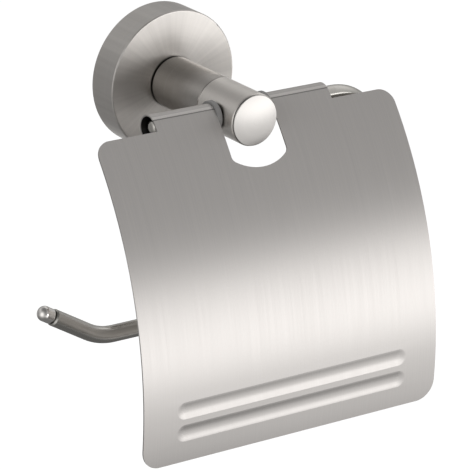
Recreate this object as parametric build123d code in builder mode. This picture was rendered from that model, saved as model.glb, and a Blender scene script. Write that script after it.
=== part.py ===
from build123d import *

import math
import os

# Toilet paper holder for a wall, in millimetres. The origin is the centre of the wall plate's back face.
# +X is to the right, -Y comes out of the wall and +Z is up. The post lies on the Y axis.

os.makedirs("parts", exist_ok=True)

# Rosette, the round cover on the wall
rosette_dia = 54.0
rosette_wall = 2.5
rosette_edge = 0.5

# Wall plate, screwed to the wall inside the rosette
plate_thickness = 6.0
plate_floor = 2.0
plate_play = 0.2
plate_groove_depth = 1.0
wall_hole_inset = 8.3
wall_hole_dia = 4.5
wall_head_dia = 9.0

# Grub screw that clamps the rosette to the wall plate from below
grub_dia = 4.0
grub_socket_flats = 2.0
grub_socket_depth = 1.5
grub_recess = 0.4
grub_chamfer = 0.5

# Post: a neck on the rosette and a barrel in front of it
barrel_dia = 19.5
barrel_length = 21.35
neck_length = 28.6
neck_step = 0.1
seam_chamfer = 0.3
neck_relief_width = 0.6
neck_relief_depth = 0.6

# Bolt through rosette and neck into the barrel, with its washers
bolt_dia = 6.0
bolt_head_flats = 10.0
bolt_head_height = 4.0
bolt_head_room = 1.5
bolt_tip_room = 1.55
bolt_chamfer = 0.6
bolt_hole_play = 0.3
thread_play = 0.02
washer_width = 2.95
washer_thickness = 1.2
spring_washer_width = 2.6
spring_washer_thickness = 1.6
spring_washer_split = 1.0
pocket_play = 2.5

# Set screw in the barrel's front that clamps the wire, and the cap that hides it
lock_dia = 6.0
lock_cap_room = 1.75
lock_socket_flats = 3.0
lock_socket_depth = 2.0
lock_chamfer = 0.5
wire_flat_depth = 0.4
cap_spigot_dia = 12.0
cap_spigot_length = 2.6
cap_gap_width = 0.35
cap_gap_depth = 0.6
cap_rim = 0.1
cap_edge = 0.25
cap_bulge = 1.2
cap_play = 0.02

# Hanger wire: hinge rod, leg, bar and turned-up end in one bend of round wire
wire_dia = 6.25
wire_fit = 0.03
rod_overrun = 4.6
wire_drop = 75.1
wire_bend = 20.0
bar_reach = 56.6
tip_angle = 30.0
tip_bend = 22.0
tip_length = 23.3
tip_chamfer = 0.5
rod_recess = 0.9
rod_end_flat = 1.85

# Bead in the end of the bar
bead_dia = 5.7
bead_neck_dia = 4.2
bead_gap = 0.8
bead_length = 5.6
bead_edge = 0.5
bead_end_flat = 0.5
bead_shank_dia = 3.0
bead_shank_length = 5.0
bead_play = 0.02

# Plastic bushes between the rod and the lid's sleeves
bush_wall = 1.05
bush_play = 0.05
bush_seat_play = 0.02
bush_length = 12.0
flange_step = 1.575
flange_thickness = 2.1
flange_edge = 0.3
barrel_side_play = 0.3

# Lid: a curved sheet with two curled sleeves at its top
lid_width = 130.3
lid_length = 119.0
lid_radius = 152.7
lid_lean = 40.1
sheet = 0.6
sleeve_length = 26.25
sleeve_wrap = 285.0
sleeve_rise = 3.4
notch_radius = 19.7
notch_corner = 2.5
tab_corner = 6.0
bottom_corner = 7.5
groove_count = 2
groove_side = 14.15
groove_margin = 7.0
groove_land = 0.15
groove_width = 7.0
groove_depth = 0.44
groove_lip = 0.65
groove_lip_rise = 0.02


def leaning(angle):
    """Way out of the lid, in its middle plane, at an angle above the level."""
    return Vector(0, -math.cos(math.radians(angle)), math.sin(math.radians(angle)))


# Places along the post, as distances from the wall
grub_distance = plate_thickness / 2
bolt_head_base = plate_floor + bolt_head_room
bolt_head_seat = bolt_head_base + bolt_head_height
washer_base = bolt_head_seat + spring_washer_thickness
rosette_floor = washer_base + washer_thickness
rosette_depth = rosette_floor + rosette_wall
seam_distance = rosette_depth + neck_length
rod_distance = seam_distance + barrel_length / 2
barrel_front = seam_distance + barrel_length
spigot_end = barrel_front - cap_spigot_length
bolt_tip = rod_distance - wire_dia / 2 - bolt_tip_room
lock_tip = rod_distance + wire_dia / 2 - wire_flat_depth
lock_back = spigot_end - lock_cap_room

# Radii and widths that follow from the fits
plate_radius = rosette_dia / 2 - rosette_wall - plate_play
neck_radius = barrel_dia / 2 - neck_step
bolt_hole_radius = bolt_dia / 2 + bolt_hole_play
washer_radius = bolt_hole_radius + washer_width
spring_washer_radius = bolt_hole_radius + spring_washer_width
bush_bore = wire_dia / 2 + bush_play
bush_outer = bush_bore + bush_wall
sleeve_inner = bush_outer + bush_seat_play
sleeve_outer = sleeve_inner + sheet
notch_half = barrel_dia / 2 + barrel_side_play + flange_thickness
sleeve_end = notch_half + sleeve_length
wire_leg = sleeve_end + rod_overrun + wire_bend

# The lid's outer curve, which runs on above its top edge and into the curl of the sleeves
hinge = Vector(0, -rod_distance, 0)
curl_lean = lid_lean + math.degrees(sleeve_rise / lid_radius)
lid_centre = hinge - leaning(curl_lean) * (lid_radius - sleeve_outer)
outward = leaning(lid_lean)
tab_edge = lid_centre + outward * lid_radius
bottom_lean = lid_lean - math.degrees(lid_length / lid_radius)


def along_post(distance):
    """Plane square to the post, facing away from the wall."""
    return Plane.XZ.offset(distance)


def bent_sheet(*bends):
    """Section through the sheet along its bends: each is a centre, an outer radius and two leans."""
    with BuildLine() as outline:
        starts = []
        ends = []
        for inset in (0, sheet):
            arcs = []
            for centre, radius, first, last in bends:
                arcs.append(CenterArc((centre.Y, centre.Z), radius - inset, 180 - first, first - last))
            starts.append(arcs[0] @ 0)
            ends.append(arcs[-1] @ 1)
        Line(*starts)
        Line(*ends)
    make_face(outline.edges())


def finish(builder, name):
    """Label a finished piece and write it out."""
    builder.part.label = name
    export_step(builder.part, f"parts/{name}.step")


# Wall plate: round disc with a pocket for the bolt's head and a groove round its rim
with BuildPart() as wall_plate:
    with BuildSketch(along_post(0)):
        Circle(plate_radius)
    extrude(amount=plate_thickness)
    with BuildSketch(along_post(plate_floor)):
        Circle(washer_radius + pocket_play)
    extrude(amount=plate_thickness - plate_floor, mode=Mode.SUBTRACT)
    with BuildSketch(along_post(grub_distance)):
        Circle(plate_radius)
        Circle(plate_radius - plate_groove_depth, mode=Mode.SUBTRACT)
    extrude(amount=grub_dia / 2 + plate_play, both=True, mode=Mode.SUBTRACT)
    hole_place = plate_radius - wall_hole_inset
    with Locations(along_post(plate_thickness)):
        with Locations((-hole_place, 0), (hole_place, 0)):
            CounterSinkHole(wall_hole_dia / 2, wall_head_dia / 2)
finish(wall_plate, "wall_plate")

# Rosette: cup with a flat face, open towards the wall
with BuildPart() as rosette:
    with BuildSketch(along_post(0)):
        Circle(rosette_dia / 2)
    extrude(amount=rosette_depth)
    fillet(rosette.edges().sort_by(Axis.Y)[0], rosette_edge)
    with BuildSketch(along_post(0)):
        Circle(rosette_dia / 2 - rosette_wall)
    extrude(amount=rosette_floor, mode=Mode.SUBTRACT)
    with BuildSketch(along_post(0)):
        Circle(bolt_hole_radius)
    extrude(amount=rosette_depth, mode=Mode.SUBTRACT)
    with BuildSketch(Plane((0, -grub_distance, 0), x_dir=(1, 0, 0), z_dir=(0, 0, -1))):
        Circle(grub_dia / 2 + thread_play)
    extrude(amount=rosette_dia / 2, mode=Mode.SUBTRACT)
finish(rosette, "rosette")

# Rosette grub screw: flat end in the plate's groove, hexagon socket at the rosette's underside
grub_point = plate_radius - plate_groove_depth
grub_length = rosette_dia / 2 - grub_recess - grub_point
with BuildPart() as rosette_grub_screw:
    grub_base = Plane((0, -grub_distance, -grub_point), x_dir=(1, 0, 0), z_dir=(0, 0, -1))
    with BuildSketch(grub_base):
        Circle(grub_dia / 2)
    extrude(amount=grub_length)
    chamfer(rosette_grub_screw.edges().group_by(Axis.Z)[-1], grub_chamfer)
    with BuildSketch(grub_base.offset(grub_length)):
        RegularPolygon(grub_socket_flats / 2, 6, major_radius=False)
    extrude(amount=-grub_socket_depth, mode=Mode.SUBTRACT)
finish(rosette_grub_screw, "rosette_grub_screw")

# Neck: drilled bar with a narrow relief against the rosette and a chamfer at the seam
with BuildPart() as neck:
    with BuildSketch(along_post(rosette_depth)):
        Circle(neck_radius - neck_relief_depth)
    extrude(amount=neck_relief_width)
    with BuildSketch(along_post(rosette_depth + neck_relief_width)):
        Circle(neck_radius)
    extrude(amount=neck_length - neck_relief_width)
    chamfer(neck.edges().sort_by(Axis.Y)[0], seam_chamfer)
    with BuildSketch(along_post(rosette_depth)):
        Circle(bolt_hole_radius)
    extrude(amount=neck_length, mode=Mode.SUBTRACT)
finish(neck, "neck")

# Barrel: tapped from behind, bored across for the wire, and bored in front for lock screw and cap
with BuildPart() as barrel:
    with BuildSketch(along_post(seam_distance)):
        Circle(barrel_dia / 2)
    extrude(amount=barrel_length)
    chamfer(barrel.edges().filter_by(GeomType.CIRCLE), seam_chamfer)
    with BuildSketch(along_post(seam_distance)):
        Circle(bolt_dia / 2 + thread_play)
    extrude(amount=bolt_tip - seam_distance, mode=Mode.SUBTRACT)
    with BuildSketch(along_post(rod_distance)):
        Circle(lock_dia / 2 + thread_play)
    extrude(amount=barrel_front - rod_distance, mode=Mode.SUBTRACT)
    with BuildSketch(along_post(spigot_end)):
        Circle(cap_spigot_dia / 2 + cap_play)
    extrude(amount=cap_spigot_length, mode=Mode.SUBTRACT)
    with BuildSketch(Plane.YZ):
        with Locations((hinge.Y, hinge.Z)):
            Circle(wire_dia / 2 + wire_fit)
    extrude(amount=barrel_dia / 2, both=True, mode=Mode.SUBTRACT)
finish(barrel, "barrel")

# Post washer, flat, under the spring washer
with BuildPart() as post_washer:
    with BuildSketch(along_post(washer_base)):
        Circle(washer_radius)
        Circle(bolt_hole_radius, mode=Mode.SUBTRACT)
    extrude(amount=washer_thickness)
finish(post_washer, "post_washer")

# Spring washer, split once
with BuildPart() as spring_washer:
    with BuildSketch(along_post(bolt_head_seat)):
        Circle(spring_washer_radius)
        Circle(bolt_hole_radius, mode=Mode.SUBTRACT)
        with Locations((0, spring_washer_radius)):
            Rectangle(spring_washer_split, 2 * spring_washer_radius, mode=Mode.SUBTRACT)
    extrude(amount=spring_washer_thickness)
finish(spring_washer, "spring_washer")

# Post bolt with a hexagon head
with BuildPart() as post_bolt:
    with BuildSketch(along_post(bolt_head_base)):
        RegularPolygon(bolt_head_flats / 2, 6, major_radius=False)
    extrude(amount=bolt_head_height)
    with BuildSketch(along_post(bolt_head_seat)):
        Circle(bolt_dia / 2)
    extrude(amount=bolt_tip - bolt_head_seat)
    chamfer(post_bolt.edges().sort_by(Axis.Y)[0], bolt_chamfer)
finish(post_bolt, "post_bolt")

# Wire lock screw, with its flat end on the wire's flat
with BuildPart() as wire_lock_screw:
    with BuildSketch(along_post(lock_tip)):
        Circle(lock_dia / 2)
    extrude(amount=lock_back - lock_tip)
    chamfer(wire_lock_screw.edges().filter_by(GeomType.CIRCLE), lock_chamfer)
    with BuildSketch(along_post(lock_back)):
        RegularPolygon(lock_socket_flats / 2, 6, major_radius=False)
    extrude(amount=-lock_socket_depth, mode=Mode.SUBTRACT)
finish(wire_lock_screw, "wire_lock_screw")

# End cap: domed disc on a spigot, with a narrow gap line behind its rim
with BuildPart() as end_cap:
    with BuildSketch(along_post(spigot_end)):
        Circle(cap_spigot_dia / 2)
    extrude(amount=cap_spigot_length)
    with BuildSketch(along_post(barrel_front)):
        Circle(barrel_dia / 2 - seam_chamfer - cap_gap_depth)
    extrude(amount=cap_gap_width)
    cap_back = barrel_front + cap_gap_width
    cap_radius = barrel_dia / 2 - seam_chamfer
    with BuildSketch(Plane.XY):
        with BuildLine():
            back_line = Line((0, -cap_back), (cap_radius, -cap_back))
            rim_line = Line(back_line @ 1, (cap_radius, -cap_back - cap_rim - cap_edge))
            crown = (0, -cap_back - cap_rim - cap_edge - cap_bulge)
            TangentArc(crown, rim_line @ 1, tangent=(1, 0))
            Line(crown, back_line @ 0)
        make_face()
        fillet(vertices().group_by(Axis.X)[-1].sort_by(Axis.Y)[0], cap_edge)
    revolve(axis=Axis.Y)
finish(end_cap, "end_cap")

# Hanger wire: hinge rod through the barrel, down the leg, back along the bar and up to the tip
tip_turn = math.radians(tip_angle)
tip_way = Vector(-math.cos(tip_turn), 0, math.sin(tip_turn))
wire_end = Vector(-bar_reach, -rod_distance, -wire_drop) + tip_way * tip_length
tip_plane = Plane(wire_end, x_dir=(0, -1, 0), z_dir=tip_way)
with BuildPart() as hanger_wire:
    with BuildLine(along_post(rod_distance)) as wire_path:
        FilletPolyline(
            (rod_recess - sleeve_end, 0),
            (wire_leg, 0),
            (wire_leg, -wire_drop),
            (-bar_reach, -wire_drop),
            (wire_end.X, wire_end.Z),
            radius=[wire_bend, wire_bend, tip_bend],
        )
    with BuildSketch(Plane(wire_path.line @ 0, z_dir=wire_path.line % 0)):
        Circle(wire_dia / 2)
    sweep()
    rod_rim = hanger_wire.edges().filter_by(GeomType.CIRCLE).sort_by_distance(wire_path.line @ 0)[0]
    fillet(rod_rim, (wire_dia - rod_end_flat) / 2)
    tip_rim = hanger_wire.edges().filter_by(GeomType.CIRCLE).sort_by_distance(wire_end)[0]
    chamfer(tip_rim, tip_chamfer)
    with BuildSketch(tip_plane):
        Circle(bead_shank_dia / 2 + bead_play)
    extrude(amount=-bead_shank_length, mode=Mode.SUBTRACT)
    with BuildSketch(along_post(lock_tip)):
        Rectangle(lock_dia + 2 * wire_fit, wire_dia)
    extrude(amount=wire_dia / 2, mode=Mode.SUBTRACT)
finish(hanger_wire, "hanger_wire")

# Bar end bead: rounded stud on a narrow neck, with a shank in the wire's end
with BuildPart() as bar_end_bead:
    with BuildSketch(tip_plane.offset(-bead_shank_length)):
        Circle(bead_shank_dia / 2)
    extrude(amount=bead_shank_length)
    with BuildSketch(tip_plane):
        Circle(bead_neck_dia / 2)
    extrude(amount=bead_gap)
    with BuildSketch(tip_plane.offset(bead_gap)):
        Circle(bead_dia / 2)
    extrude(amount=bead_length)
    bead_rims = bar_end_bead.edges().filter_by(GeomType.CIRCLE).group_by(SortBy.RADIUS)[-1]
    fillet(bead_rims.sort_by_distance(wire_end)[0], bead_edge)
    fillet(bead_rims.sort_by_distance(wire_end)[-1], (bead_dia - bead_end_flat) / 2)
finish(bar_end_bead, "bar_end_bead")

# Bushes: a flange beside the barrel and a thin tube in the lid's sleeve
for name, side in (("bush_left", -1), ("bush_right", 1)):
    with BuildPart() as bush:
        with BuildSketch(Plane.YZ.offset(side * (notch_half - flange_thickness))):
            with Locations((hinge.Y, hinge.Z)):
                Circle(bush_outer + flange_step)
        extrude(amount=side * flange_thickness)
        chamfer(bush.edges().filter_by(GeomType.CIRCLE), flange_edge)
        with BuildSketch(Plane.YZ.offset(side * notch_half)):
            with Locations((hinge.Y, hinge.Z)):
                Circle(bush_outer)
        extrude(amount=side * bush_length)
        with BuildSketch(Plane.YZ):
            with Locations((hinge.Y, hinge.Z)):
                Circle(bush_bore)
        extrude(amount=side * (notch_half + bush_length), mode=Mode.SUBTRACT)
    finish(bush, name)

# A pressed groove: a round bottom and two lips of the same radius, in an S, which cross the sheet's face
lip_half = groove_width / 2 + groove_lip
press_height = groove_depth + groove_lip_rise
press_radius = (lip_half**2 + press_height**2) / (2 * press_height)
press_turn = math.asin(lip_half / press_radius)
bottom_radius = press_radius / 2
groove_half = (lid_width - groove_width) / 2 - groove_side


def lid_section(height):
    """Plane across the lid at a height along its curve: local x runs up the sheet and local y out of it."""
    lean_here = bottom_lean + math.degrees(height / lid_radius)
    face_here = lid_centre + leaning(lean_here) * lid_radius
    return Plane(face_here, x_dir=leaning(lean_here + 90), z_dir=(1, 0, 0))


def sheet_corners(builder):
    """Short edges through the sheet's thickness, in rows from the bottom up."""
    return builder.edges().filter_by(GeomType.LINE).group_by(SortBy.LENGTH)[0].group_by(Axis.Z)


def half_press(depth_in, base):
    """Half of a groove's section, as pressed at a depth into the sheet, closed off at a base height."""
    bottom = (0, -groove_depth - depth_in)
    reach = bottom_radius + depth_in
    turning_height = bottom_radius - groove_depth - reach * math.cos(press_turn)
    turning_point = (reach * math.sin(press_turn), turning_height)
    with BuildLine() as outline:
        floor_arc = TangentArc(bottom, turning_point, tangent=(1, 0))
        lip_arc = TangentArc(turning_point, (lip_half, groove_lip_rise - depth_in), tangent=floor_arc % 1)
        Polyline(lip_arc @ 1, (lip_half, base), (0, base), bottom)
    make_face(outline.edges())


def press_tool(height, depth_in, base):
    """Solid with the form of a groove: a straight run along the lid and two round ends."""
    section = lid_section(height)
    with BuildPart() as tool:
        with BuildSketch(section):
            half_press(depth_in, base)
            mirror(about=Plane.YZ)
        extrude(amount=groove_half, both=True)
        for side in (-1, 1):
            end = section.offset(side * groove_half)
            with BuildSketch(end):
                half_press(depth_in, base)
            revolve(axis=Axis(end.origin, end.y_dir * -side), revolution_arc=180)
    return tool.part


groove_pitch = 2 * lip_half + groove_land
groove_heights = [groove_margin + lip_half + count * groove_pitch for count in range(groove_count)]
groove_backs = [press_tool(height, sheet, -sheet / 2) for height in groove_heights]
groove_fronts = [press_tool(height, 0, groove_depth) for height in groove_heights]

# Lid: a sheet bent along one curve, with the grooves pressed in and a sleeve curled over each bush
with BuildPart() as lid:
    with BuildSketch(Plane.YZ):
        bent_sheet((lid_centre, lid_radius, bottom_lean, lid_lean))
    extrude(amount=lid_width / 2, both=True)
    fillet(sheet_corners(lid)[0], bottom_corner)
    fillet(sheet_corners(lid)[-1], tab_corner)
    add(groove_backs)
    add(groove_fronts, mode=Mode.SUBTRACT)
    tab_lean = 2 * lid_lean - curl_lean
    for side in (-1, 1):
        with BuildSketch(Plane.YZ.offset(side * notch_half)):
            bent_sheet(
                (lid_centre, lid_radius, tab_lean, curl_lean),
                (hinge, sleeve_outer, curl_lean, curl_lean + sleeve_wrap),
            )
        extrude(amount=side * sleeve_length)
    with BuildSketch(Plane(tab_edge, x_dir=(1, 0, 0), z_dir=outward)):
        Circle(notch_radius)
        Rectangle(2 * notch_half, 2 * notch_radius, mode=Mode.INTERSECT)
        fillet(vertices().group_by(Axis.Y)[0], notch_corner)
    extrude(amount=notch_radius, both=True, mode=Mode.SUBTRACT)
finish(lid, "lid")
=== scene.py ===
from collections import namedtuple
import math

import bpy
from mathutils import Matrix, Vector


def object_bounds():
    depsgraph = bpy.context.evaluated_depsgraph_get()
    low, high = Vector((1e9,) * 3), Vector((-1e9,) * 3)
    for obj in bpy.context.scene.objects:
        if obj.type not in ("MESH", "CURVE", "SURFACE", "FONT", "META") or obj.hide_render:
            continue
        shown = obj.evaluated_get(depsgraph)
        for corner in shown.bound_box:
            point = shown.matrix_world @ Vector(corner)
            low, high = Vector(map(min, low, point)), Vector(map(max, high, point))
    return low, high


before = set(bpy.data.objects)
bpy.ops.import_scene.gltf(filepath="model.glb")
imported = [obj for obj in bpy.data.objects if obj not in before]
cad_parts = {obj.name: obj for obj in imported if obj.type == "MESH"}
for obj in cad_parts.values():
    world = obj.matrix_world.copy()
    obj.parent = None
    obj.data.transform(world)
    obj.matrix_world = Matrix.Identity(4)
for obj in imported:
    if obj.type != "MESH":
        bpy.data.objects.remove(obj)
cad_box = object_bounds()

MILLIMETRE = 0.001
WHITE = (1.0, 1.0, 1.0, 1.0)

# The photograph's viewpoint, in degrees and metres, and its lens on a 36 mm sensor
VIEW_AZIMUTH = -36.92
VIEW_ELEVATION = 20.58
VIEW_ROLL = 2.54
VIEW_DISTANCE = 1.2395
VIEW_TARGET = Vector((0.00335, -0.05, -0.04843))
VIEW_LENS = 261.5
SENSOR_WIDTH = 36.0

# Floor, well below the holder, which hangs on a wall
FLOOR_DROP = 0.35
FLOOR_RADIUS = 4.0
FLOOR_CORNERS = 96
FLOOR_COLOUR = (0.9, 0.9, 0.9, 1.0)
FLOOR_ROUGHNESS = 0.9
FLOOR_GLOW = 0.5

# Studio: light level for matt surfaces, and what polished metal sees around it. A panel is a soft patch,
# with its place and size in degrees, and a level at its middle where 1 is white
FILL_LEVEL = 0.6
ROOM_LEVEL = 0.16
Panel = namedtuple("Panel", "azimuth elevation width height level")
STUDIO_PANELS = {
    "right_wall": Panel(azimuth=89.0, elevation=-14.0, width=89.0, height=15.0, level=1.0),
    "far_right": Panel(azimuth=132.0, elevation=-26.0, width=33.0, height=11.0, level=1.0),
    "upper_right": Panel(azimuth=105.0, elevation=43.0, width=64.0, height=24.0, level=0.8),
    "left_wall": Panel(azimuth=-76.0, elevation=8.0, width=33.0, height=30.0, level=1.0),
    "upper_front": Panel(azimuth=40.0, elevation=24.0, width=50.0, height=16.0, level=0.24),
    "back_left": Panel(azimuth=-143.0, elevation=28.0, width=35.0, height=18.0, level=0.35),
    "front_table": Panel(azimuth=22.0, elevation=-21.0, width=34.0, height=19.0, level=1.1),
}

# Long softbox in front of the holder, to the right of the camera, in degrees, metres and watts
SOFTBOX_AZIMUTH = 35.0
SOFTBOX_ELEVATION = -0.5
SOFTBOX_DISTANCE = 1.6
SOFTBOX_WIDTH = 2.03
SOFTBOX_HEIGHT = 0.71
SOFTBOX_POWER = 7.6

# Colours of the metals and of the plastic
LID_STEEL = (0.765, 0.735, 0.71)
ROSETTE_METAL = (0.675, 0.645, 0.613)
BARREL_METAL = (0.83, 0.79, 0.745)
# The neck's colour is the turned metal made darker: painted shade for the dark neck beside the rosette
NECK_METAL_PAINTED_DARKER = (0.5, 0.475, 0.445)
CAP_METAL = (0.545, 0.525, 0.505)
WIRE_METAL = (0.585, 0.565, 0.53)
BEAD_METAL = (0.94, 0.91, 0.875)
SCREW_METAL = (0.5, 0.5, 0.5)
PLATE_METAL = (0.5, 0.5, 0.49)
BUSH_GREY = (0.265, 0.26, 0.255)

# Grain of the metals, in changes per metre: fine lines and broad streaks
LID_LINES = (2500.0, 25.0, 25.0)
LID_STREAKS = (500.0, 12.0, 12.0)
FINE_LINES = (3000.0, 3000.0, 3000.0)
FINE_STREAKS = (300.0, 300.0, 300.0)
TURNED_LINES = 6000.0
TURNED_STREAKS = 700.0
TURNED_DRIFT = 40.0
TURNED_DRIFT_SHARE = 0.3
LINE_SHARE = 0.65
METAL_TINT = 0.04
METAL_ROUGHNESS_CHANGE = 0.03
BUMP_DEPTH = 0.02 * MILLIMETRE

# Faint rays of painted sheen on the rosette: their number, detail and shades
SPOKE_SCALE = 11.0
SPOKE_DETAIL = 4.0
SPOKE_DARK = 0.94
SPOKE_LIGHT = 1.06

# Grain of the plastic, in changes per metre
CLOUD_SCALE = 400.0
PORE_SCALE = 6000.0
PORE_BUMP = 0.2
PLASTIC_TINT = 0.08
PLASTIC_ROUGHNESS_CHANGE = 0.06
PLASTIC_SUBSURFACE = 0.15
PLASTIC_SUBSURFACE_RADIUS = (1.0 * MILLIMETRE, 1.0 * MILLIMETRE, 1.0 * MILLIMETRE)

# Usual range of a noise texture, and its steps of detail
NOISE_LOW = 0.3
NOISE_HIGH = 0.7
PLAIN_DETAIL = 2.0
FINE_DETAIL = 3.0

# Painted shade in narrow gaps: how far it reads the gap, and how dark it goes
CREVICE_REACH = 2.5 * MILLIMETRE
CREVICE_PAINTED_SHADE = 0.15

# Painted light on the lid's sleeves, curled about the hinge: bore and reach, painted shade inside the bore,
# and the leans of a painted dark line and of a painted highlight above it. Each change is added to a shade
# of 1
HINGE = Vector((0.0, -0.052075, 0.0))
SLEEVE_BORE = 4.4 * MILLIMETRE
SLEEVE_REACH = 5.2 * MILLIMETRE
INSIDE_PAINTED_SHADE = -0.93
DARK_LINE_LEAN = math.radians(52.0)
DARK_LINE_SPREAD = math.radians(2.5)
PAINTED_DARK_LINE_CHANGE = -0.5
HIGHLIGHT_LEAN = math.radians(62.0)
HIGHLIGHT_SPREAD = math.radians(7.0)
PAINTED_HIGHLIGHT_CHANGE = 0.28
DARKEST_PAINTED_SHADE = 0.05

# Poles of rounded forms, where the facet's own normal is steadier: groove ends, without signs, and the
# cap's crown
GROOVE_ENDS = (Vector((0.0475, 0.09338, 0.09871)), Vector((0.0475, 0.0932, 0.09029)))
GROOVE_END_REACH = 0.9 * MILLIMETRE
CAP_CROWN = Vector((0.0, -0.06465, 0.0))
CAP_CROWN_REACH = 1.5 * MILLIMETRE

# How strongly a grain stretches reflections, the axis that it is measured about, and its turn
Brushing = namedtuple("Brushing", "strength axis turn")
QUARTER_TURN = 0.25


class Nodes:
    """Short way to add and link shader nodes in one tree."""

    def __init__(self, tree):
        self.tree = tree

    def fill(self, node, inputs):
        """Link each socket to another node's, or set it to a value."""
        for socket, value in inputs.items():
            if isinstance(value, bpy.types.NodeSocket):
                self.tree.links.new(value, node.inputs[socket])
            else:
                node.inputs[socket].default_value = value

    def add(self, kind, inputs=None, **settings):
        node = self.tree.nodes.new(kind)
        for name, value in settings.items():
            setattr(node, name, value)
        self.fill(node, inputs or {})
        return node

    def math(self, operation, *values):
        return self.add("ShaderNodeMath", dict(enumerate(values)), operation=operation).outputs[0]

    def vector(self, operation, *values):
        return self.add("ShaderNodeVectorMath", dict(enumerate(values)), operation=operation).outputs

    def noise(self, place, scale, detail):
        inputs = {"Vector": place, "Scale": scale, "Detail": detail}
        return self.add("ShaderNodeTexNoise", inputs).outputs["Fac"]

    def spread(self, factor, low, high):
        """Map a texture's usual range onto a range of values."""
        inputs = {
            "Value": factor,
            "From Min": NOISE_LOW,
            "From Max": NOISE_HIGH,
            "To Min": low,
            "To Max": high,
        }
        return self.add("ShaderNodeMapRange", inputs).outputs["Result"]

    def tint(self, factor, colour, change):
        """Colour that goes a little darker and lighter with a texture."""
        dark = [channel * (1 - change) for channel in colour] + [1.0]
        light = [channel * (1 + change) for channel in colour] + [1.0]
        inputs = {"Factor": self.spread(factor, 0.0, 1.0), "A": dark, "B": light}
        return self.add("ShaderNodeMix", inputs, data_type="RGBA").outputs["Result"]

    def steady_normal(self, factor):
        """Smooth normal where the factor is 0, and the facet's own normal where it is 1."""
        surface = self.add("ShaderNodeNewGeometry").outputs
        # A Mix node has its pair of vectors at sockets 4 and 5, and the mixed vector at output 1
        inputs = {0: factor, 4: surface["Normal"], 5: surface["True Normal"]}
        return self.add("ShaderNodeMix", inputs, data_type="VECTOR").outputs[1]


def direction(azimuth, elevation):
    """Unit vector towards a place in the studio. Azimuth 0 is in front of the wall, and 90 to the right."""
    turn = math.radians(azimuth)
    rise = math.radians(elevation)
    level = math.cos(rise)
    return Vector((math.sin(turn) * level, -math.cos(turn) * level, math.sin(rise)))


def new_material(name):
    material = bpy.data.materials.new(name)
    material.use_nodes = True
    return material, Nodes(material.node_tree), material.node_tree.nodes["Principled BSDF"]


def metal(name, colour, grain, roughness, bump, brushing=None, painted_light=None, poles=None):
    """Metal with a fine grain.

    grain holds two functions, which place its fine lines and its broad streaks. Narrow gaps get painted
    shade, a further function paints a shade or highlight for each place, and poles says where the facet's
    own normal is used.
    """
    material, nodes, shader = new_material(name)
    place = nodes.add("ShaderNodeTexCoord").outputs["Object"]
    place_lines, place_streaks = grain
    lines = nodes.noise(place_lines(nodes, place), 1.0, FINE_DETAIL)
    streaks = nodes.noise(place_streaks(nodes, place), 1.0, PLAIN_DETAIL)
    fine = nodes.math("MULTIPLY", lines, LINE_SHARE)
    broad = nodes.math("MULTIPLY", streaks, 1.0 - LINE_SHARE)
    both = nodes.math("ADD", fine, broad)

    # Painted shade: the colour darkens in narrow gaps, where shade falls, and takes any painted light given
    # for each place
    openness = nodes.add("ShaderNodeAmbientOcclusion", {"Distance": CREVICE_REACH}).outputs["AO"]
    shade = nodes.spread(openness, CREVICE_PAINTED_SHADE, 1.0)
    if painted_light:
        shade = nodes.math("MULTIPLY", shade, painted_light(nodes, place))
    tinted = nodes.tint(both, colour, METAL_TINT)
    shaded = nodes.add("ShaderNodeVectorMath", {0: tinted, "Scale": shade}, operation="SCALE").outputs[0]

    bumped = nodes.add("ShaderNodeBump", {"Strength": bump, "Distance": BUMP_DEPTH, "Height": lines})
    if poles:
        nodes.fill(bumped, {"Normal": nodes.steady_normal(poles(nodes, place))})
    if brushing:
        tangent = nodes.add("ShaderNodeTangent", direction_type="RADIAL", axis=brushing.axis)
        nodes.fill(shader, {
            "Anisotropic": brushing.strength,
            "Anisotropic Rotation": brushing.turn,
            "Tangent": tangent.outputs["Tangent"],
        })
    low = roughness - METAL_ROUGHNESS_CHANGE
    high = roughness + METAL_ROUGHNESS_CHANGE
    nodes.fill(shader, {
        "Base Color": shaded,
        "Metallic": 1.0,
        "Roughness": nodes.spread(both, low, high),
        "Normal": bumped.outputs["Normal"],
    })
    return material


def plastic(name, colour, roughness):
    """Matt plastic, faintly cloudy, with fine pores."""
    material, nodes, shader = new_material(name)
    place = nodes.add("ShaderNodeTexCoord").outputs["Object"]
    cloud = nodes.noise(place, CLOUD_SCALE, FINE_DETAIL)
    pores = nodes.noise(place, PORE_SCALE, PLAIN_DETAIL)
    bumped = nodes.add("ShaderNodeBump", {"Strength": PORE_BUMP, "Distance": BUMP_DEPTH, "Height": pores})
    low = roughness - PLASTIC_ROUGHNESS_CHANGE
    high = roughness + PLASTIC_ROUGHNESS_CHANGE
    nodes.fill(shader, {
        "Base Color": nodes.tint(cloud, colour, PLASTIC_TINT),
        "Roughness": nodes.spread(pores, low, high),
        "Normal": bumped.outputs["Normal"],
        "Subsurface Weight": PLASTIC_SUBSURFACE,
        "Subsurface Radius": PLASTIC_SUBSURFACE_RADIUS,
    })
    return material


def straight_grain(scale):
    """Grain that changes at its own rate along each axis."""
    return lambda nodes, place: nodes.vector("MULTIPLY", place, scale)[0]


def across_post(nodes, place):
    """The part of a place that lies across the post's axis."""
    return nodes.vector("MULTIPLY", place, (1.0, 0.0, 1.0))[0]


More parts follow.
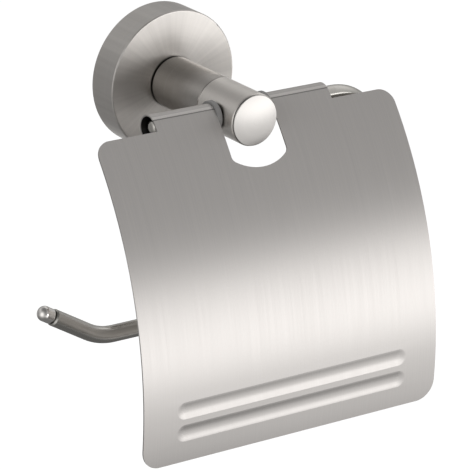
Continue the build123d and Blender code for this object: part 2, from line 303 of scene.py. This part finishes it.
def turned_grain(scale):
    """Rings about the post's axis, with a slow change around them."""

    def rings(nodes, place):
        radius = nodes.vector("LENGTH", across_post(nodes, place))["Value"]
        along = nodes.add("ShaderNodeSeparateXYZ", {0: place}).outputs["Y"]
        drift = nodes.noise(place, TURNED_DRIFT, PLAIN_DETAIL)
        return nodes.add("ShaderNodeCombineXYZ", {
            "X": nodes.math("MULTIPLY", radius, scale),
            "Y": nodes.math("MULTIPLY", along, scale),
            "Z": nodes.math("MULTIPLY", drift, TURNED_DRIFT_SHARE),
        }).outputs[0]

    return rings


def painted_spoke_sheen(nodes, place):
    """Faint lighter and darker rays about the post's axis: painted sheen, like the reflections that a turned
    face shows.
    """
    way = nodes.vector("NORMALIZE", across_post(nodes, place))[0]
    return nodes.spread(nodes.noise(way, SPOKE_SCALE, SPOKE_DETAIL), SPOKE_DARK, SPOKE_LIGHT)


def painted_sleeve_light(nodes, place):
    """Painted shade inside the sleeves, a painted dark line along their front, and a painted highlight above
    it.
    """
    arm = nodes.vector("SUBTRACT", place, HINGE)[0]
    across_hinge = nodes.vector("MULTIPLY", arm, (0.0, 1.0, 1.0))[0]
    radius = nodes.vector("LENGTH", across_hinge)["Value"]
    parts = nodes.add("ShaderNodeSeparateXYZ", {0: arm}).outputs
    lean = nodes.math("ARCTAN2", parts["Z"], nodes.math("MULTIPLY", parts["Y"], -1.0))
    curled = nodes.math("LESS_THAN", radius, SLEEVE_REACH)
    # Painted shade inside the bore, then a painted dark line and a painted highlight across the curl
    shade = nodes.math("MULTIPLY", nodes.math("LESS_THAN", radius, SLEEVE_BORE), INSIDE_PAINTED_SHADE)
    painted_light = ((DARK_LINE_LEAN, DARK_LINE_SPREAD, PAINTED_DARK_LINE_CHANGE), (HIGHLIGHT_LEAN, HIGHLIGHT_SPREAD, PAINTED_HIGHLIGHT_CHANGE))
    for middle, spread, change in painted_light:
        line = nodes.math("MULTIPLY", nodes.math("COMPARE", lean, middle, spread), curled)
        shade = nodes.math("ADD", shade, nodes.math("MULTIPLY", line, change))
    return nodes.math("MAXIMUM", nodes.math("ADD", shade, 1.0), DARKEST_PAINTED_SHADE)


def near(nodes, place, point, reach):
    """1 within a distance of a point, and 0 elsewhere."""
    return nodes.math("LESS_THAN", nodes.vector("DISTANCE", place, point)["Value"], reach)


def groove_ends(nodes, place):
    """Where the rounded ends of the lid's grooves have their poles, alike on both sides."""
    folded = nodes.vector("ABSOLUTE", place)[0]
    return nodes.math("MAXIMUM", *(near(nodes, folded, point, GROOVE_END_REACH) for point in GROOVE_ENDS))


def cap_crown(nodes, place):
    """The pole at the middle of the end cap's dome."""
    return near(nodes, place, CAP_CROWN, CAP_CROWN_REACH)


def dress(material, *node_names):
    for name in node_names:
        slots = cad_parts[name].data.materials
        slots.clear()
        slots.append(material)


def dress_lid():
    grain = (straight_grain(LID_LINES), straight_grain(LID_STREAKS))
    brushing = Brushing(strength=0.92, axis="X", turn=QUARTER_TURN)
    details = {"brushing": brushing, "painted_light": painted_sleeve_light, "poles": groove_ends}
    dress(metal("brushed_lid", LID_STEEL, grain, roughness=0.5, bump=0.12, **details), "lid")


def dress_post():
    grain = (turned_grain(TURNED_LINES), turned_grain(TURNED_STREAKS))
    details = {"brushing": Brushing(strength=0.85, axis="Y", turn=0.0), "painted_light": painted_spoke_sheen}
    dress(metal("turned_rosette", ROSETTE_METAL, grain, roughness=0.37, bump=0.1, **details), "rosette")
    details = {"brushing": Brushing(strength=0.7, axis="Y", turn=QUARTER_TURN)}
    dress(metal("turned_barrel", BARREL_METAL, grain, roughness=0.33, bump=0.04, **details), "barrel")
    details = {"brushing": Brushing(strength=0.5, axis="Y", turn=QUARTER_TURN)}
    dress(metal("turned_neck_painted_darker", NECK_METAL_PAINTED_DARKER, grain, roughness=0.25, bump=0.03, **details), "neck")
    dress(metal("satin_cap", CAP_METAL, grain, roughness=0.36, bump=0.02, poles=cap_crown), "end_cap")


def dress_small_pieces():
    grain = (straight_grain(FINE_LINES), straight_grain(FINE_STREAKS))
    dress(metal("satin_wire", WIRE_METAL, grain, roughness=0.22, bump=0.05), "hanger_wire")
    dress(metal("polished_bead", BEAD_METAL, grain, roughness=0.12, bump=0.03), "bar_end_bead")
    dress(
        metal("plated_screws", SCREW_METAL, grain, roughness=0.35, bump=0.2),
        "rosette_grub_screw",
        "post_washer",
        "spring_washer",
        "post_bolt",
        "wire_lock_screw",
    )
    dress(metal("cast_plate", PLATE_METAL, grain, roughness=0.5, bump=0.5), "wall_plate")
    dress(plastic("grey_plastic", BUSH_GREY, roughness=0.45), "bush_left", "bush_right")


def make_camera():
    back = direction(VIEW_AZIMUTH, VIEW_ELEVATION)
    right = Vector((0, 0, 1)).cross(back).normalized()
    up = back.cross(right)
    roll = math.radians(VIEW_ROLL)
    across = right * math.cos(roll) + up * math.sin(roll)
    upright = up * math.cos(roll) - right * math.sin(roll)
    lens = bpy.data.cameras.new("camera")
    lens.lens = VIEW_LENS
    lens.sensor_width = SENSOR_WIDTH
    camera = bpy.data.objects.new("camera", lens)
    turn = Matrix((across, upright, back)).transposed().to_4x4()
    camera.matrix_world = Matrix.Translation(VIEW_TARGET + back * VIEW_DISTANCE) @ turn
    bpy.context.scene.collection.objects.link(camera)
    bpy.context.scene.camera = camera


def panel_glow(nodes, azimuth, elevation, panel):
    """Soft patch of light in the studio, brightest at its middle."""
    turn = nodes.math("SUBTRACT", azimuth, math.radians(panel.azimuth))
    turn = nodes.math("WRAP", turn, math.pi, -math.pi)
    across = nodes.math("DIVIDE", turn, math.radians(panel.width))
    rise = nodes.math("SUBTRACT", elevation, math.radians(panel.elevation))
    along = nodes.math("DIVIDE", rise, math.radians(panel.height))
    reach = nodes.math("ADD", nodes.math("MULTIPLY", across, across), nodes.math("MULTIPLY", along, along))
    fade = nodes.math("EXPONENT", nodes.math("MULTIPLY", reach, -1.0))
    return nodes.math("MULTIPLY", fade, panel.level)


def studio_level(nodes, way):
    """Light that metal sees in the studio along a unit vector from the holder."""
    ahead = nodes.add("ShaderNodeSeparateXYZ", {0: way}).outputs
    azimuth = nodes.math("ARCTAN2", ahead["X"], nodes.math("MULTIPLY", ahead["Y"], -1.0))
    elevation = nodes.math("ARCSINE", ahead["Z"])
    level = ROOM_LEVEL
    for panel in STUDIO_PANELS.values():
        level = nodes.math("ADD", panel_glow(nodes, azimuth, elevation, panel), level)
    return nodes.math("MINIMUM", level, 1.0)


def mirrored(nodes, rays):
    """1 for what metal shows of its surroundings, and 0 for other light."""
    return nodes.math("MAXIMUM", rays["Is Glossy Ray"], rays["Is Transmission Ray"])


def make_floor():
    """Pale floor that keeps the holder's shadow, and shows the studio's shades to the metal."""
    lowest = cad_box[0][2]
    bpy.ops.mesh.primitive_circle_add(
        vertices=FLOOR_CORNERS, radius=FLOOR_RADIUS, fill_type="NGON", location=(0, 0, lowest - FLOOR_DROP)
    )
    floor = bpy.context.object
    floor.name = "floor"
    material, nodes, shader = new_material("pale_floor")
    nodes.fill(shader, {"Base Color": FLOOR_COLOUR, "Roughness": FLOOR_ROUGHNESS})
    rays = nodes.add("ShaderNodeLightPath").outputs
    glow_level = nodes.math("MULTIPLY", rays["Is Camera Ray"], FLOOR_GLOW)
    glow = nodes.add("ShaderNodeEmission", {"Strength": glow_level})
    lit = nodes.add("ShaderNodeAddShader", {0: shader.outputs[0], 1: glow.outputs[0]})
    place = nodes.add("ShaderNodeNewGeometry").outputs["Position"]
    way = nodes.vector("NORMALIZE", nodes.vector("SUBTRACT", place, VIEW_TARGET)[0])[0]
    shown = nodes.add("ShaderNodeEmission", {"Strength": studio_level(nodes, way)})
    inputs = {0: mirrored(nodes, rays), 1: lit.outputs[0], 2: shown.outputs[0]}
    both = nodes.add("ShaderNodeMixShader", inputs)
    nodes.fill(nodes.tree.nodes["Material Output"], {"Surface": both.outputs[0]})
    material.cycles.emission_sampling = "NONE"
    floor.data.materials.append(material)


def make_world():
    """White backdrop for the camera, and a studio of soft panels for the metal to mirror."""
    world = bpy.data.worlds.new("studio")
    world.use_nodes = True
    bpy.context.scene.world = world
    nodes = Nodes(world.node_tree)
    way = nodes.add("ShaderNodeTexCoord").outputs["Generated"]
    rays = nodes.add("ShaderNodeLightPath").outputs
    backdrop = nodes.math("MAXIMUM", rays["Is Camera Ray"], studio_level(nodes, way))
    seen = nodes.math("MAXIMUM", rays["Is Camera Ray"], mirrored(nodes, rays))
    level = nodes.add("ShaderNodeMix", {"Factor": seen, "A": FILL_LEVEL, "B": backdrop}, data_type="FLOAT")
    nodes.fill(world.node_tree.nodes["Background"], {"Strength": level.outputs["Result"], "Color": WHITE})
    world.cycles.sampling_method = "NONE"


def make_softbox():
    light = bpy.data.lights.new("softbox", "AREA")
    light.shape = "RECTANGLE"
    light.size = SOFTBOX_WIDTH
    light.size_y = SOFTBOX_HEIGHT
    light.energy = SOFTBOX_POWER
    lamp = bpy.data.objects.new("softbox", light)
    way = direction(SOFTBOX_AZIMUTH, SOFTBOX_ELEVATION)
    lamp.location = VIEW_TARGET + way * SOFTBOX_DISTANCE
    lamp.rotation_euler = way.to_track_quat("Z", "Y").to_euler()
    bpy.context.scene.collection.objects.link(lamp)


dress_lid()
dress_post()
dress_small_pieces()

make_camera()
make_floor()
make_world()
make_softbox()

bpy.context.scene.view_settings.view_transform = "Standard"
